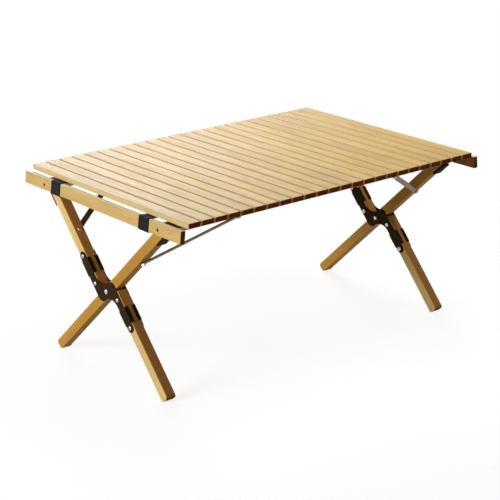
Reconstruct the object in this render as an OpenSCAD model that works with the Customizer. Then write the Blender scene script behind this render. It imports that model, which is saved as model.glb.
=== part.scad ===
// Roll top camp table: a roll of hardwood slats on webbing, over two crossed leg frames.
// X runs along the table, Y across it, and Z is up from the floor.

/* [Table top] */
// Height of the slats' top faces above the floor
top_h = 438.5; // [420:0.5:460]
// Number of slats
slat_count = 24; // [20:1:26]
// Length of a slat, across the table
slat_l = 600; // [560:1:680]
// Width of a slat
slat_w = 32; // [30:0.5:36]
// Thickness of a slat
slat_t = 12; // [9:0.5:14]
// Open gap between two slats
slat_gap = 4.5; // [3.5:0.1:6]
// Radius along a slat's top edges
slat_edge_r = 1.5; // [0.5:0.1:3]

/* [End rails] */
// Thickness of an end rail
rail_t = 12; // [8:0.5:14]
// Height of an end rail
rail_h = 29; // [26:1:36]
// Open gap between an end rail and the slat next to it
rail_gap = 8; // [7:0.5:12]
// Distance of a rail's top below the slats' undersides
rail_drop = 0.8; // [0.5:0.1:4]
// Radius along a rail's edges
rail_edge_r = 1.5; // [0.5:0.1:3]
// Tilt of the rails, which hang with their lower edges outwards
rail_tilt = 6.5; // [0:0.5:8]
// Diameter of the stop pins in the rails
rail_pin_d = 7.5; // [5:0.5:9]

/* [Webbing] */
// Width of the straps
web_w = 36; // [24:1:40]
// Thickness of the webbing
web_t = 2; // [1.5:0.1:2.2]
// Gap between a strap and the bearer beside it
web_gap = 14; // [12:1:40]
// Width of the folded webbing tab on a leg
tab_w = 25; // [20:1:28]
// Length of the folded webbing tab on a leg
tab_l = 40; // [30:1:50]
// Thickness of the folded tab
tab_t = 5; // [4:0.5:7]
// Distance of a tab's upper end below the middle of the bearer
tab_drop = 10; // [6:1:16]

/* [Legs] */
// Width of a leg, in the plane of the crossed legs
leg_w = 24.5; // [22:0.5:26]
// Depth of a leg, along the table
leg_d = 26; // [23:0.5:29]
// Radius along the edges of legs and bearers
leg_edge_r = 2; // [1:0.1:3]
// Radius of a leg's upper corners
leg_top_r = 9; // [4:0.5:10]
// Radius of a foot's corners
foot_r = 8; // [5:0.5:10]
// Depth of the flat worn on a foot
foot_flat = 0.4; // [0.2:0.1:1]
// Height of the legs' pivot above the floor
pivot_h = 203; // [195:1:210]
// Slope of the through legs from the floor
through_angle = 43.2; // [42:0.1:45]
// Slope of the split legs from the floor
split_angle = 48.3; // [47:0.1:50]
// Gap between a split leg and the through leg once folded
fold_gap = 2; // [1.8:0.1:4]
// Distance of a split leg's inner end from the pivot
split_start = 16; // [14.5:0.5:20]
// Distance of the legs' outer faces behind the end rails
leg_set_in = 2.4; // [2.4:0.1:5]

/* [Bearers] */
// Height of a bearer, along the legs' slope
bearer_w = 25; // [22:0.5:26]

/* [Pivot plates] */
// Thickness of a plate
plate_t = 2; // [1.5:0.1:3]
// Distance of the inner bolts from the pivot, along the leg
inner_bolt = 34.7; // [32:0.1:38]
// Distance of the outer bolts from the pivot, along the leg
outer_bolt = 106; // [100:1:115]
// Distance of the plate's edges inside the leg's sides
plate_inset = 1.2; // [0.5:0.1:2]
// Half length of the plate's middle, along the leg
plate_waist = 13; // [12:0.5:16]
// Radius of the plate's two wide corners
plate_corner_r = 18; // [14:0.5:22]
// Start of the bent flanges, along the leg
flange_start = 58; // [54:1:64]
// End of the bent flanges, along the leg
flange_end = 97; // [80:1:98]
// Depth of the bent flanges over the leg's sides
flange_h = 7.5; // [5:0.5:11]
// Thickness of the bent flanges
flange_t = 1.3; // [1:0.1:1.5]

/* [Stays] */
// Width of a stay
stay_w = 13; // [10:0.5:16]
// Thickness of a stay
stay_t = 3; // [2:0.5:4]
// Distance between a stay's bolts, along the table
stay_run = 186; // [170:1:210]
// Distance of the stays' lower bolts below the slats
stay_drop = 115; // [100:1:130]

/* [Bolts] */
// Diameter of the bolts in plates, stays and bearers
bolt_d = 6; // [5:0.5:6]
// Diameter of a bolt's head
head_d = 9.5; // [9:0.5:12]
// Height of a bolt's head
head_h = 2.6; // [2:0.1:3]
// Width of a nut over its corners
nut_d = 11; // [10:0.5:12]
// Height of a nut
nut_h = 4; // [3:0.5:5]
// Diameter of the pivot bolts
pivot_d = 8; // [6:0.5:8]
// Diameter of the pivot bolts' heads
pivot_head_d = 11.5; // [10:0.5:14]
// Outer diameter of the pivot washers
washer_d = 20; // [16:1:22]
// Thickness of the pivot washers
washer_t = 0.5; // [0.4:0.1:1]
// Depth of a bearer bolt in the bearer
bearer_bolt_l = 45; // [30:1:60]

/* [Clearances] */
// Radial clearance of a bolt in its hole
bolt_clear = 0.15; // [0.1:0.05:0.3]
// Radial clearance of a pivot bolt in its bores
pivot_clear = 0.1; // [0.05:0.05:0.2]
// Clearance beside a turning or folded face
side_clear = 0.1; // [0.1:0.05:0.2]
// Clearance of webbing round a rail
strap_clear = 0.1; // [0.1:0.05:0.2]
// Clearance between the top and the frame that carries it
seat_clear = 0.3; // [0.2:0.1:0.5]

/* [Hidden] */
$fn = 48;

// The top
slat_pitch = slat_w + slat_gap;
top_l = slat_count * slat_w + (slat_count - 1) * slat_gap;
slat_under = top_h - slat_t;

// The rails
rail_in = top_l / 2 + rail_gap;
rail_out = rail_in + rail_t;
rail_mid = rail_in + rail_t / 2;
rail_top = slat_under - rail_drop;
pin_end = rail_in - leg_set_in + seat_clear;

// The webbing
loop_grow = strap_clear + web_t;
loop_in = rail_in - loop_grow;
loop_top = rail_top + loop_grow - (rail_t / 2 + loop_grow) * sin(rail_tilt);

// The legs
leg_out = rail_in - leg_set_in;
leg_mid = leg_out - leg_d / 2;
leg_in = leg_out - leg_d;
through_side = washer_t + 2 * side_clear;
through_d = leg_d - 2 * through_side;
split_y = leg_w + fold_gap;

// Rise of a tilted bearer's rounded upper edge over its middle
function crest(slope) =
    (bearer_w / 2 - leg_edge_r) * sin(slope) + (leg_w / 2 - leg_edge_r) * cos(slope) + leg_edge_r;
crest_h = slat_under - seat_clear;
bearer_a = (crest_h - crest(through_angle) - pivot_h) / sin(through_angle);
bearer_b = (crest_h - crest(split_angle) - pivot_h + split_y * cos(split_angle)) / sin(split_angle);
leg_top_a = bearer_a + bearer_w / 2;
leg_top_b = bearer_b + bearer_w / 2;

// Reach of a tilted bearer to each side of its middle, across the table
function reach(slope) =
    (bearer_w / 2 - leg_edge_r) * cos(slope) + (leg_w / 2 - leg_edge_r) * sin(slope) + leg_edge_r;

// Length of each leg below the pivot, so that its rounded foot meets the floor
foot_side = leg_w / 2 - foot_r;
foot_rise = pivot_h + foot_flat - foot_r;
foot_a = foot_r + (foot_rise - foot_side * cos(through_angle)) / sin(through_angle);
foot_b = foot_r + (foot_rise + (split_y - foot_side) * cos(split_angle)) / sin(split_angle);

// Middles of the bearers, where the rails' pins stop against the legs
bearer_a_y = -bearer_a * cos(through_angle);
bearer_a_z = pivot_h + bearer_a * sin(through_angle);
bearer_b_y = bearer_b * cos(split_angle) + split_y * sin(split_angle);
bearer_b_z = pivot_h + bearer_b * sin(split_angle) - split_y * cos(split_angle);

// The straps, just inside the nearer bearer
bearer_side = min(-bearer_a_y - reach(through_angle), bearer_b_y - reach(split_angle));
web_y = bearer_side - web_gap - web_w / 2;

// The plates
arm_w = leg_w - 2 * plate_inset;
plate_edge = split_y + arm_w / 2;
plate_fillet_r = 2 * split_y - plate_corner_r;
flange_out = side_clear + flange_t;

// The stays
stay_h = slat_under - stay_drop;
stay_a = (stay_h - pivot_h) / sin(through_angle);
stay_b = (stay_h - pivot_h + split_y * cos(split_angle)) / sin(split_angle);

// The bolts
bolt_hole_d = bolt_d + 2 * bolt_clear;
pivot_hole_d = pivot_d + 2 * pivot_clear;
sink_h = head_h + side_clear;
sink_d = head_d + 2 * bolt_clear;
cut_over = 1;

WOOD = "burlywood";
DARK_WOOD = "sienna";
BLACK_STEEL = "darkslategray";
GREY_STEEL = "dimgray";
BRIGHT_STEEL = "gainsboro";
WEBBING = [0.1, 0.1, 0.12];

function slat_name(i) = str("slat_", i < 10 ? "0" : "", i);
SLATS = [for (i = [1 : slat_count]) slat_name(i)];

// Placing

// The near end of the table is at -X, and the far end is its mirror image
module at_end(far) {
    if (far) mirror([1, 0, 0]) children();
    else children();
}

// Frame A holds the through legs, with Z along the leg and +Y on its upper side
module frame_a() {
    translate([0, 0, pivot_h]) rotate([90 - through_angle, 0, 0]) children();
}

// Frame B holds the split legs, with Z along the leg and +Y on its lower side
module frame_b() {
    translate([0, 0, pivot_h]) rotate([split_angle - 90, 0, 0]) children();
}

// Extrudes an outline drawn in Y and Z along X, from x0 over a length
module along_x(x0, length) {
    translate([x0, 0, 0]) rotate([90, 0, 90]) linear_extrude(length) children();
}

// Extrudes an outline drawn in X and Z along Y, about y0
module along_y(y0, length) {
    translate([0, y0, 0]) rotate([90, 0, 0]) linear_extrude(length, center = true) children();
}

module rod_x(x0, length, d) {
    translate([x0, 0, 0]) rotate([0, 90, 0]) cylinder(h = length, d = d);
}

module rod_y(y0, length, d) {
    translate([0, y0, 0]) rotate([-90, 0, 0]) cylinder(h = length, d = d);
}

// Outlines

module rounded_rect(w, h, r) {
    square([w - 2 * r, h], center = true);
    square([w, h - 2 * r], center = true);
    for (x = [-1, 1], y = [-1, 1])
        translate([x * (w / 2 - r), y * (h / 2 - r)]) circle(r);
}

// A bar along Z from s0 to s1, with its own corner radius at each end
module bar_outline(w, s0, s1, r0, r1) {
    translate([-w / 2, s0 + r0]) square([w, s1 - s0 - r0 - r1]);
    translate([r0 - w / 2, s0]) square([w - 2 * r0, 2 * r0]);
    translate([r1 - w / 2, s1 - 2 * r1]) square([w - 2 * r1, 2 * r1]);
    for (y = [-1, 1]) {
        translate([y * (w / 2 - r0), s0 + r0]) circle(r0);
        translate([y * (w / 2 - r1), s1 - r1]) circle(r1);
    }
}

module slat_outline() {
    translate([-slat_w / 2, 0]) square([slat_w, slat_t - slat_edge_r]);
    translate([slat_edge_r - slat_w / 2, 0]) square([slat_w - 2 * slat_edge_r, slat_t]);
    for (x = [-1, 1])
        translate([x * (slat_w / 2 - slat_edge_r), slat_t - slat_edge_r]) circle(slat_edge_r);
}

// One arm of a pivot plate and its half of the middle
module plate_half_outline() {
    corner_y = plate_edge - plate_corner_r;
    corner_z = plate_corner_r - plate_waist;
    arm_in = split_y - arm_w / 2;
    flange_edge = leg_w / 2 + flange_out;
    translate([arm_in, corner_z]) square([arm_w, outer_bolt - corner_z]);
    translate([split_y, outer_bolt]) circle(d = arm_w);
    translate([split_y - flange_edge, flange_start])
        square([2 * flange_edge, flange_end - flange_start]);
    translate([-corner_y, -plate_waist]) square([2 * corner_y, 2 * plate_waist]);
    translate([corner_y, corner_z]) circle(plate_corner_r);
    difference() {
        translate([-corner_y, plate_waist - cut_over])
            square([plate_fillet_r, plate_fillet_r + cut_over]);
        translate([-corner_y, plate_waist + plate_fillet_r]) circle(plate_fillet_r);
    }
}

module plate_outline() {
    plate_half_outline();
    rotate(180) plate_half_outline();
}

// Fasteners

// A domed head on the plane x = 0, rising towards -X
module domed_head(d, h) {
    rotate([0, -90, 0]) {
        cylinder(h = h / 2, d = d);
        translate([0, 0, h / 2]) cylinder(h = h / 2, d1 = d, d2 = d * 0.6);
    }
}

// A bolt along X whose head bears on x = 0 and whose nut bears on x = grip
module bolt(grip, d, head) {
    domed_head(head, head_h);
    rod_x(0, grip + nut_h + head_h, d);
    translate([grip, 0, 0]) rotate([0, 90, 0]) cylinder(h = nut_h, d = nut_d, $fn = 6);
}

// The top

module slat(i) {
    color(WOOD)
        translate([(i - 1) * slat_pitch + slat_w / 2 - top_l / 2, 0, slat_under])
            along_y(0, slat_l) slat_outline();
}

module rail_pin_places() {
    translate([0, bearer_a_y, bearer_a_z]) children();
    translate([0, bearer_b_y, bearer_b_z]) children();
}

// A rail hangs from the middle of its top edge, with its outlines about its own middle
module rail_frame() {
    translate([-rail_mid, 0, rail_top]) rotate([0, rail_tilt, 0]) translate([0, 0, -rail_h / 2]) children();
}

module end_rail(far) {
    color(WOOD) at_end(far) difference() {
        rail_frame() along_y(0, slat_l) rounded_rect(rail_t, rail_h, rail_edge_r);
        rail_pin_places() rod_x(-rail_out - rail_h, 2 * rail_h, rail_pin_d);
    }
}

// Pins through a rail, flush outside, that stop it against the legs
module rail_pins(far) {
    color(DARK_WOOD) at_end(far) intersection() {
        rail_pin_places() rod_x(-rail_out - rail_h, rail_out + rail_h - pin_end, rail_pin_d - 2 * side_clear);
        rail_frame() translate([-rail_t / 2, -slat_l / 2, -rail_h / 2]) cube([2 * rail_h, slat_l, rail_h]);
    }
}

module strap_loops(far) {
    color(WEBBING) at_end(far) rail_frame() for (side = [-1, 1])
        along_y(side * web_y, web_w) difference() {
            rounded_rect(rail_t + 2 * loop_grow, rail_h + 2 * loop_grow, rail_edge_r + loop_grow);
            rounded_rect(rail_t + 2 * strap_clear, rail_h + 2 * strap_clear, rail_edge_r + strap_clear);
        }
}

// A strap under the slats, from the near loop to the far loop
module webbing_run(side) {
    far_end = loop_in - seat_clear;
    color(WEBBING) along_y(side * web_y, web_w) polygon([
        [-loop_in, loop_top], [-loop_in, loop_top - web_t],
        [-top_l / 2, slat_under - web_t], [top_l / 2, slat_under - web_t],
        [far_end, loop_top - web_t], [far_end, loop_top],
        [top_l / 2, slat_under], [-top_l / 2, slat_under]
    ]);
}

// The legs

// A leg along Z from s0 to s1, about y0, rounded along its edges and at its ends
module leg_bar(y0, s0, s1, r0, r1, depth) {
    translate([-leg_mid, y0, 0]) intersection() {
        along_x(-depth / 2, depth) bar_outline(leg_w, s0, s1, r0, r1);
        translate([0, 0, s0]) linear_extrude(s1 - s0) rounded_rect(depth, leg_w, leg_edge_r);
    }
}

// The floor takes the flat off each foot
module floor_cut() {
    cut_y = slat_l / 2;
    translate([-leg_out - cut_over, -cut_y, -2 * foot_r])
        cube([leg_d + 2 * cut_over, 2 * cut_y, 2 * foot_r]);
}

// Holes for a stay's lower bolt and for the bearer's bolt, with its sunk head
module leg_top_holes(y0, stay_s, bearer_s, depth) {
    outer = -leg_mid - depth / 2;
    translate([-leg_mid, y0, stay_s]) rod_y(-leg_w, 2 * leg_w, bolt_hole_d);
    translate([0, y0, bearer_s]) {
        rod_x(outer - cut_over, depth + 2 * cut_over, bolt_hole_d);
        rod_x(outer - cut_over, cut_over + sink_h, sink_d);
    }
}

module through_leg(far) {
    color(WOOD) at_end(far) difference() {
        frame_a() difference() {
            leg_bar(0, -foot_a, leg_top_a, foot_r, leg_top_r, through_d);
            rod_x(-leg_out, leg_d, pivot_hole_d);
            leg_top_holes(0, stay_a, bearer_a, through_d);
        }
        floor_cut();
    }
}

module upper_leg(far) {
    color(WOOD) at_end(far) frame_b() difference() {
        leg_bar(split_y, split_start, leg_top_b, leg_edge_r, leg_top_r, leg_d);
        for (s = [inner_bolt, outer_bolt])
            translate([0, split_y, s]) rod_x(-leg_out - cut_over, leg_d + 2 * cut_over, bolt_hole_d);
        leg_top_holes(split_y, stay_b, bearer_b, leg_d);
    }
}

module lower_leg(far) {
    color(WOOD) at_end(far) difference() {
        frame_b() difference() {
            leg_bar(-split_y, -foot_b, -split_start, foot_r, leg_edge_r, leg_d);
            for (s = [inner_bolt, outer_bolt])
                translate([0, -split_y, -s])
                    rod_x(-leg_out - cut_over, leg_d + 2 * cut_over, bolt_hole_d);
        }
        floor_cut();
    }
}

// The bearers, tilted with the legs, with the slats on their upper edges

module bearer(y0, s, half_l) {
    difference() {
        translate([0, y0, s]) along_x(-half_l, 2 * half_l) rounded_rect(leg_w, bearer_w, leg_edge_r);
        for (end = [-1, 1]) {
            translate([end * (leg_mid - stay_run), y0, s]) rod_y(-leg_w, 2 * leg_w, bolt_hole_d);
            mirror([end > 0 ? 1 : 0, 0, 0])
                translate([0, y0, s])
                    rod_x(-half_l - cut_over, bearer_bolt_l + 2 * cut_over, bolt_hole_d);
        }
    }
}

module right_bearer() {
    color(WOOD) frame_a() bearer(0, bearer_a, leg_in + through_side);
}

module left_bearer() {
    color(WOOD) frame_b() bearer(split_y, bearer_b, leg_in);
}

// The pivot plates, with an S outline and flanges bent over the legs' sides

module plate_flanges(x0, length) {
    for (turn = [0, 180], edge = [-1, 1])
        rotate([turn, 0, 0])
            translate([x0, split_y + edge * (leg_w / 2 + side_clear + flange_t / 2) - flange_t / 2,
                       flange_start])
                cube([length, flange_t, flange_end - flange_start]);
}

// face is the plate's inner side, and inward is the way from it into the leg
module pivot_plate(face, inward) {
    outer = inward > 0 ? face - plate_t : face;
    color(BLACK_STEEL) frame_b() difference() {
        union() {
            along_x(outer, plate_t) plate_outline();
            plate_flanges(inward > 0 ? face - plate_t / 2 : face - flange_h, flange_h + plate_t / 2);
        }
        rod_x(outer - cut_over, plate_t + 2 * cut_over, pivot_hole_d);
        for (turn = [0, 180], s = [inner_bolt, outer_bolt])
            rotate([turn, 0, 0]) translate([0, split_y, s])
                rod_x(outer - cut_over, plate_t + 2 * cut_over, bolt_hole_d);
    }
}

module outer_plate(far) {
    at_end(far) pivot_plate(-leg_out, 1);
}

module inner_plate(far) {
    at_end(far) pivot_plate(-leg_in, -1);
}

// The stays, flat bars from the legs' outer sides up to the bearers

module stay(y0, s0, s1) {
    tilt = atan2(s1 - s0, stay_run);
    stay_l = norm([s1 - s0, stay_run]);
    color(GREY_STEEL) translate([-leg_mid, y0, s0]) rotate([0, -tilt, 0]) along_y(0, stay_t) difference() {
        union() {
            translate([0, -stay_w / 2]) square([stay_l, stay_w]);
            circle(d = stay_w);
            translate([stay_l, 0]) circle(d = stay_w);
        }
        circle(d = bolt_hole_d);
        translate([stay_l, 0]) circle(d = bolt_hole_d);
    }
}

module right_stay(far) {
    at_end(far) frame_a() stay(-(leg_w + stay_t) / 2, stay_a, bearer_a);
}

module left_stay(far) {
    at_end(far) frame_b() stay(split_y + (leg_w + stay_t) / 2, stay_b, bearer_b);
}

// Webbing tabs, folded double and fixed to the legs' outer sides

module leg_tab(y_face, side, bearer_s) {
    upper = bearer_s - tab_drop;
    translate([-leg_mid, y_face + side * tab_t / 2, 0]) along_x(-tab_w / 2, tab_w) {
        translate([-tab_t / 2, upper - tab_l + tab_t / 2]) square([tab_t, tab_l - tab_t / 2]);
        translate([0, upper - tab_l + tab_t / 2]) circle(d = tab_t);
    }
}

module right_leg_tabs() {
    color(WEBBING) for (far = [false, true])
        at_end(far) frame_a() leg_tab(-leg_w / 2, -1, bearer_a);
}

module left_leg_tabs() {
    color(WEBBING) for (far = [false, true])
        at_end(far) frame_b() leg_tab(split_y + leg_w / 2, 1, bearer_b);
}

// The bolts

module pivot_bolts() {
    color(BRIGHT_STEEL) for (far = [false, true])
        at_end(far) frame_b() translate([-leg_out - plate_t - side_clear, 0, 0])
            bolt(leg_d + 2 * plate_t + 2 * side_clear, pivot_d, pivot_head_d);
}

module pivot_washers() {
    color(BRIGHT_STEEL) for (far = [false, true]) at_end(far) frame_b()
        for (x = [-leg_out + side_clear, -leg_in - side_clear - washer_t]) difference() {
            rod_x(x, washer_t, washer_d);
            rod_x(x - cut_over, washer_t + 2 * cut_over, pivot_hole_d);
        }
}

module plate_bolts() {
    color(BRIGHT_STEEL) for (far = [false, true]) at_end(far) frame_b()
        for (turn = [0, 180], s = [inner_bolt, outer_bolt])
            rotate([turn, 0, 0]) translate([-leg_out - plate_t, split_y, s])
                bolt(leg_d + 2 * plate_t, bolt_d, head_d);
}

// Bolts square to a leg's side, with their heads inside and their nuts on the stays
module stay_bolts(y_head, side, s0, s1) {
    color(BRIGHT_STEEL) for (far = [false, true]) at_end(far)
        for (place = [[-leg_mid, s0], [stay_run - leg_mid, s1]])
            translate([place[0], y_head, place[1]]) rotate([0, 0, side * 90])
                bolt(leg_w + stay_t, bolt_d, head_d);
}

module right_stay_bolts() {
    frame_a() stay_bolts(leg_w / 2, -1, stay_a, bearer_a);
}

module left_stay_bolts() {
    frame_b() stay_bolts(split_y - leg_w / 2, 1, stay_b, bearer_b);
}

// Bolts along the table, with sunk heads, that hold the legs to the bearers' ends
module bearer_bolts(y0, s, depth) {
    seat = -leg_mid - depth / 2 + sink_h;
    color(BRIGHT_STEEL) for (far = [false, true]) at_end(far) translate([seat, y0, s]) {
        domed_head(head_d, head_h);
        rod_x(0, depth - sink_h + bearer_bolt_l, bolt_d);
    }
}

module right_bearer_bolts() {
    frame_a() bearer_bolts(0, bearer_a, through_d);
}

module left_bearer_bolts() {
    frame_b() bearer_bolts(split_y, bearer_b, leg_d);
}

// Nodes

for (i = [1 : slat_count])
    slat(i);
end_rail(false);  // near_end_rail
end_rail(true);  // far_end_rail
rail_pins(false);  // near_rail_pins
rail_pins(true);  // far_rail_pins
strap_loops(false);  // near_strap_loops
strap_loops(true);  // far_strap_loops
webbing_run(1);  // webbing_left
webbing_run(-1);  // webbing_right
through_leg(false);  // near_through_leg
through_leg(true);  // far_through_leg
upper_leg(false);  // near_upper_leg
upper_leg(true);  // far_upper_leg
lower_leg(false);  // near_lower_leg
lower_leg(true);  // far_lower_leg
right_bearer();
left_bearer();
outer_plate(false);  // near_outer_plate
inner_plate(false);  // near_inner_plate
outer_plate(true);  // far_outer_plate
inner_plate(true);  // far_inner_plate
right_stay(false);  // near_right_stay
right_stay(true);  // far_right_stay
left_stay(false);  // near_left_stay
left_stay(true);  // far_left_stay
right_leg_tabs();
left_leg_tabs();
pivot_bolts();
pivot_washers();
plate_bolts();
right_stay_bolts();
left_stay_bolts();
right_bearer_bolts();
left_bearer_bolts();
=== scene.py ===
"""Looks of the roll top camp table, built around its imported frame."""
import math

import bmesh
import bpy
from mathutils import Matrix, Vector


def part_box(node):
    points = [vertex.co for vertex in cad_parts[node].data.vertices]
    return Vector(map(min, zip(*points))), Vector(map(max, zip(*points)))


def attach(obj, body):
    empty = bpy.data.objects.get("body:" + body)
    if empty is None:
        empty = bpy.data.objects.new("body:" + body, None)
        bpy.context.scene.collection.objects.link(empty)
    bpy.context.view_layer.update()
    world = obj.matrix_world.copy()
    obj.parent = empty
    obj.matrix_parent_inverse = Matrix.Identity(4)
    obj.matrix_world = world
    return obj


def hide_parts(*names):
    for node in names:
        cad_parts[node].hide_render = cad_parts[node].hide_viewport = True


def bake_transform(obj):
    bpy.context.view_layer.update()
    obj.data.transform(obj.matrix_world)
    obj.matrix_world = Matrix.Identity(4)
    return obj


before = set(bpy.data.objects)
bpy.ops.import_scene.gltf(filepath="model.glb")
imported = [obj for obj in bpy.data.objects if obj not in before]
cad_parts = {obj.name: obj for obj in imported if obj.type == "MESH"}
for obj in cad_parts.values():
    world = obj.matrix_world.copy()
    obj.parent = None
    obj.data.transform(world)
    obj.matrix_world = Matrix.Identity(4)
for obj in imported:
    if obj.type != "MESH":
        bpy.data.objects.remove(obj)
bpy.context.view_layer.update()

MM = 0.001
TURN = 2 * math.pi

# Sizes of the frame that its boxes do not give
PIVOT_Z = 203 * MM
THROUGH_ANGLE = 43.2
SPLIT_ANGLE = 48.3
LEG_W = 24.5 * MM
LEG_D = 26 * MM
SPLIT_Y = 26.5 * MM
INNER_BOLT = 34.7 * MM
OUTER_BOLT = 106 * MM
PLATE_T = 2 * MM
STAY_T = 3 * MM
STAY_RUN = 186 * MM
STAY_DROP = 115 * MM
SIDE_CLEAR = 0.1 * MM
BOLT_D = 6 * MM
HEAD_D = 9.5 * MM
HEAD_H = 2.6 * MM
NUT_D = 11 * MM
NUT_H = 4 * MM
PIVOT_D = 8 * MM
PIVOT_HEAD_D = 11.5 * MM
RAIL_T = 12 * MM
RAIL_H = 29 * MM
RAIL_EDGE_R = 1.5 * MM
RAIL_TILT = math.radians(6.5)
WEB_T = 2 * MM
TAB_W = 25 * MM
TAB_T = 5 * MM
TAB_L = 40 * MM
TAB_DROP = 10 * MM

SLATS = sorted(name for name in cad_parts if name.startswith("slat_"))
MIRROR_X = Matrix.Scale(-1, 4, (1, 0, 0))
# Each end's name, the body of its rail, and the way inwards along X
ENDS = (("near", "near_rail", 1), ("far", "far_rail", -1))


def leg_frame(turn):
    """A frame at the pivot whose Z runs up a leg, turned about X by an angle in degrees."""
    return Matrix.Translation((0, 0, PIVOT_Z)) @ Matrix.Rotation(math.radians(turn), 4, "X")


THROUGH_FRAME = leg_frame(90 - THROUGH_ANGLE)
SPLIT_FRAME = leg_frame(SPLIT_ANGLE - 90)


def span(node):
    """The lowest and highest corners of a node at rest, as vectors."""
    low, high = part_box(node)
    return Vector(low), Vector(high)


def middle(node):
    """The middle of a node's box at rest."""
    low, high = span(node)
    return (low + high) / 2


# Shader helper

# The range in which most values of a noise lie
NOISE_LOW = 0.3
NOISE_HIGH = 0.7


class Shader:
    """A material whose nodes are added and linked by short calls."""

    def __init__(self, name):
        self.material = bpy.data.materials.new(name)
        self.material.use_nodes = True
        self.tree = self.material.node_tree
        self.tree.nodes.clear()
        self.out = self.tree.nodes.new("ShaderNodeOutputMaterial")

    def put(self, socket, value):
        """Links a socket to another one, or sets its constant."""
        if isinstance(value, bpy.types.NodeSocket):
            self.tree.links.new(value, socket)
        else:
            socket.default_value = value

    def add(self, kind, inputs=None, **settings):
        """A new node, with its settings made before its inputs."""
        item = self.tree.nodes.new("ShaderNode" + kind)
        for key, value in settings.items():
            setattr(item, key, value)
        for key, value in (inputs or {}).items():
            self.put(item.inputs[key], value)
        return item

    def place(self):
        """Coordinates on the object, in metres."""
        return self.add("TexCoord").outputs["Object"]

    def part(self, vector, axis):
        """One component of a vector."""
        return self.add("SeparateXYZ", {0: vector}).outputs[axis]

    def math(self, operation, a, b=0.0):
        """A calculation with one or two numbers."""
        return self.add("Math", {0: a, 1: b}, operation=operation).outputs[0]

    def vector(self, operation, a, b=(0.0, 0.0, 0.0)):
        """A calculation with one or two vectors. A dot product or a length comes back as a number."""
        item = self.add("VectorMath", {0: a, 1: b}, operation=operation)
        if operation in ("DOT_PRODUCT", "LENGTH"):
            return item.outputs["Value"]
        return item.outputs["Vector"]

    def mix(self, share, a, b):
        """Mixes two colours, each a socket or three numbers."""
        item = self.add("Mix", {0: share}, data_type="RGBA")
        # The node's sockets for colours
        for index, color in ((6, a), (7, b)):
            if isinstance(color, tuple):
                color = color + (1.0,)
            self.put(item.inputs[index], color)
        return item.outputs[2]

    def noise(self, vector, detail=3.0, rough=0.55, scale=1.0):
        """Soft noise from 0 to 1, with scale features for each unit of the vector."""
        inputs = {"Vector": vector, "Scale": scale, "Detail": detail, "Roughness": rough}
        return self.add("TexNoise", inputs).outputs[0]

    def rings(self, vector, wave):
        """Growth rings as slanting, wavering bands."""
        inputs = {"Vector": vector, **wave}
        return self.add("TexWave", inputs, wave_type="BANDS", bands_direction="DIAGONAL").outputs["Fac"]

    def fade(self, value, low, high, to_low=0.0, to_high=1.0):
        """Maps low to high onto to_low to to_high, and stops at both ends."""
        inputs = {0: value, 1: low, 2: high, 3: to_low, 4: to_high}
        return self.add("MapRange", inputs, clamp=True).outputs[0]

    def spread(self, noise, low, high):
        """Maps most values of a noise onto low to high."""
        return self.fade(noise, NOISE_LOW, NOISE_HIGH, low, high)

    def finish(self, color, roughness, height, strength, depth, **constants):
        """Makes the surface, with a relief from height, and returns the material."""
        shader = self.add("BsdfPrincipled", {"Base Color": color, "Roughness": roughness})
        for key, value in constants.items():
            shader.inputs[key.replace("_", " ")].default_value = value
        relief = self.add("Bump", {"Height": height, "Strength": strength, "Distance": depth})
        self.put(shader.inputs["Normal"], relief.outputs[0])
        self.put(self.out.inputs["Surface"], shader.outputs[0])
        return self.material


# Tones

HONEY = (0.61, 0.410, 0.100)
HONEY_DARK = (0.38, 0.200, 0.044)
# The next two tones are painted light: paler slat faces that look along X, for the inner slats and for
# the end slats
GAP_SIDE_LIGHT = (0.62, 0.455, 0.205)
END_SLAT_SIDE_LIGHT = (0.68, 0.520, 0.260)
PALE = (0.68, 0.480, 0.182)
TAN = (0.42, 0.240, 0.066)
# Painted shade on the rails' faces that look towards the table's middle, and below it painted light on
# their faces that look up
INNER_SHADE = (0.200, 0.062, 0.012)
RAIL_TOP_LIGHT = (0.86, 0.740, 0.470)
END_LIGHT = (0.330, 0.082, 0.014)
END_DARK = (0.190, 0.038, 0.006)
AMBER = (0.62, 0.345, 0.066)
AMBER_DARK = (0.33, 0.150, 0.024)
# Painted shade on the through legs' faces that do not look along X
AMBER_SIDE_SHADE = (0.58, 0.265, 0.036)
LEG_PALE = (0.80, 0.590, 0.232)
LEG_TAN = (0.48, 0.270, 0.080)
# The next two tones are painted shade: the split legs' faces that do not look along X, and the ends of
# all legs
LEG_SIDE_SHADE = (0.66, 0.265, 0.050)
LEG_END_SHADE = (0.085, 0.028, 0.008)
# The bearers' two tones are darkened all over as painted shade
BEARER_SHADE = (0.42, 0.225, 0.065)
BEARER_SHADE_DARK = (0.24, 0.110, 0.028)
PIN = (0.060, 0.024, 0.010)
PIN_DARK = (0.022, 0.008, 0.004)
PIN_END = (0.034, 0.012, 0.005)
COAT = (0.023, 0.0130, 0.0050)
COAT_LIGHT = (0.034, 0.0200, 0.0080)
NICKEL = (0.42, 0.41, 0.39)
NICKEL_LIGHT = (0.56, 0.55, 0.53)
BRONZE = (0.165, 0.098, 0.042)
BRONZE_LIGHT = (0.250, 0.158, 0.072)
WEB_DEEP = (0.006, 0.0062, 0.0066)
WEB_RIB = (0.022, 0.0225, 0.0235)
WEB_WORN = (0.030, 0.0305, 0.0315)
THREAD = (0.010, 0.010, 0.011)
THREAD_LIGHT = (0.036, 0.036, 0.038)


# Materials

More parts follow.
